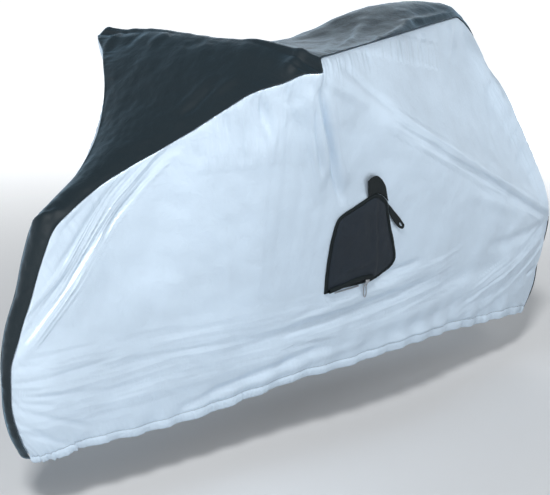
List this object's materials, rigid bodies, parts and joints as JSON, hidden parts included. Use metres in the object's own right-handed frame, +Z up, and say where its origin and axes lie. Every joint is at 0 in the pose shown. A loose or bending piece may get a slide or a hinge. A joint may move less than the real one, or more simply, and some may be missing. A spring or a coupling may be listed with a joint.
{
  "type": "bicycle cover",
  "caption": "Fitted fabric cover in the shape it takes over a bicycle, open below with a gathered hem, with a bound storage pouch on its side.",
  "frame": {"origin": "just under the inner face of the cover at the top of the saddle, which carries it, in the middle plane", "axes": "+X towards the rear wheel, +Y away from the side with the pouch, +Z up; the ground is 1.075 m below the origin"},
  "size_m": [1.942, 0.7538, 0.961],
  "materials": {
    "silver_cloth": "thin coated polyester, silver with a slight sheen",
    "black_cloth": "thin coated polyester, black, satin",
    "pouch_cloth": "plain woven polyester, black, matt",
    "black_web": "woven tape, black, matt",
    "puller_metal": "dark nickel plate, satin"
  },
  "bodies": {
    "root": {"side_panel_near": "silver_cloth", "side_panel_far": "silver_cloth", "centre_panel": "black_cloth", "pouch_panel": "pouch_cloth", "pouch_binding": "black_web", "pouch_handle": "black_web", "pull_strap": "black_web", "zip_puller": "puller_metal"}
  },
  "joints": []
}
